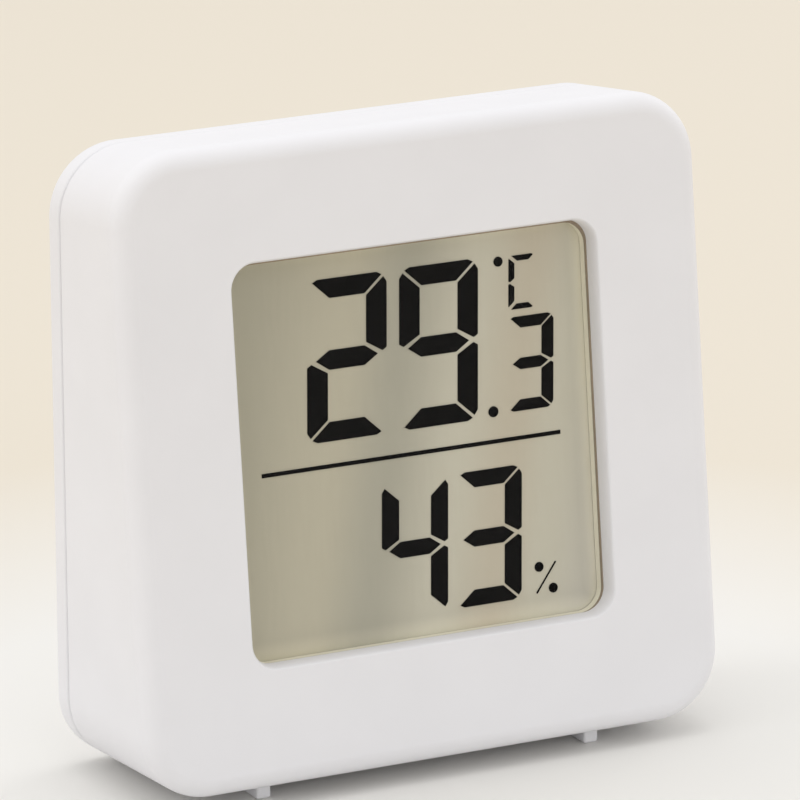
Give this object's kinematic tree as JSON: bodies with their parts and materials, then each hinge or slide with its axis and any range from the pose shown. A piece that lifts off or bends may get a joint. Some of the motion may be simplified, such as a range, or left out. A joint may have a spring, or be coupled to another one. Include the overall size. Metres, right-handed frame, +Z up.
{
  "type": "temperature and humidity sensor",
  "caption": "Square white desk thermometer and hygrometer with a segmented display, a turning battery door, a unit button and feet.",
  "frame": {"origin": "on the surface that the feet and heel pads stand on, under the middle of the whole object", "axes": "+Z up, -Y out of the display towards the viewer, +X to the viewer's right"},
  "size_m": [0.05, 0.0182, 0.0511],
  "materials": {
    "housing_plastic": "fine satin texture, white",
    "cover_plastic": "fine satin texture, white",
    "gasket_foam": "black foam",
    "polariser_film": "clear film with a slight green grey tint",
    "display_glass": "clear polished glass",
    "dark_segments": "near black",
    "reflector_film": "olive grey reflective film",
    "frame_plastic": "satin white",
    "strip_rubber": "layered pink and black rubber",
    "board_laminate": "green solder mask",
    "black_resin": "poured resin",
    "plated_metal": "plated sheet metal",
    "capacitor_body": "matt tan ceramic",
    "resistor_body": "matt black",
    "bead_resin": "dipped resin bead",
    "sensor_plate": "cream ceramic plate",
    "switch_plastic": "black plastic",
    "plunger_plastic": "natural plastic",
    "button_plastic": "satin, light grey white",
    "cell_metal": "nickel plated",
    "contact_metal": "nickel plated spring strip",
    "door_plastic": "fine satin texture, white",
    "screw_metal": "zinc plated"
  },
  "bodies": {
    "housing": {"front_housing": "housing_plastic", "rear_cover": "cover_plastic", "display_gasket": "gasket_foam", "front_polariser": "polariser_film", "front_glass": "display_glass", "lcd_segments": "dark_segments", "rear_glass": "display_glass", "reflector": "reflector_film", "display_frame": "frame_plastic", "contact_strips": "strip_rubber", "circuit_board": "board_laminate", "chip_cover": "black_resin", "clock_crystal": "plated_metal", "chip_capacitors": "capacitor_body", "chip_resistors": "resistor_body", "thermistor": "bead_resin", "humidity_sensor": "sensor_plate", "switch_body": "switch_plastic", "coin_cell": "cell_metal", "battery_contact_negative": "contact_metal", "battery_contact_positive": "contact_metal", "case_screws": "screw_metal", "board_screws": "screw_metal"},
    "door": {"battery_door": "door_plastic"},
    "button": {"unit_button": "button_plastic", "switch_plunger": "plunger_plastic"}
  },
  "joints": [
    {"name": "battery_door_turn", "type": "hinge", "parent": "housing", "child": "door", "pos_m": [0, 0.00842, 0.02005], "axis": [0, 1, 0], "range_deg": [0, 60]},
    {"name": "unit_button_press", "type": "slide", "parent": "housing", "child": "button", "axis": [0, -1, 0], "range_m": [0, 0.0005], "stiffness_N_per_m": 2000}
  ]
}
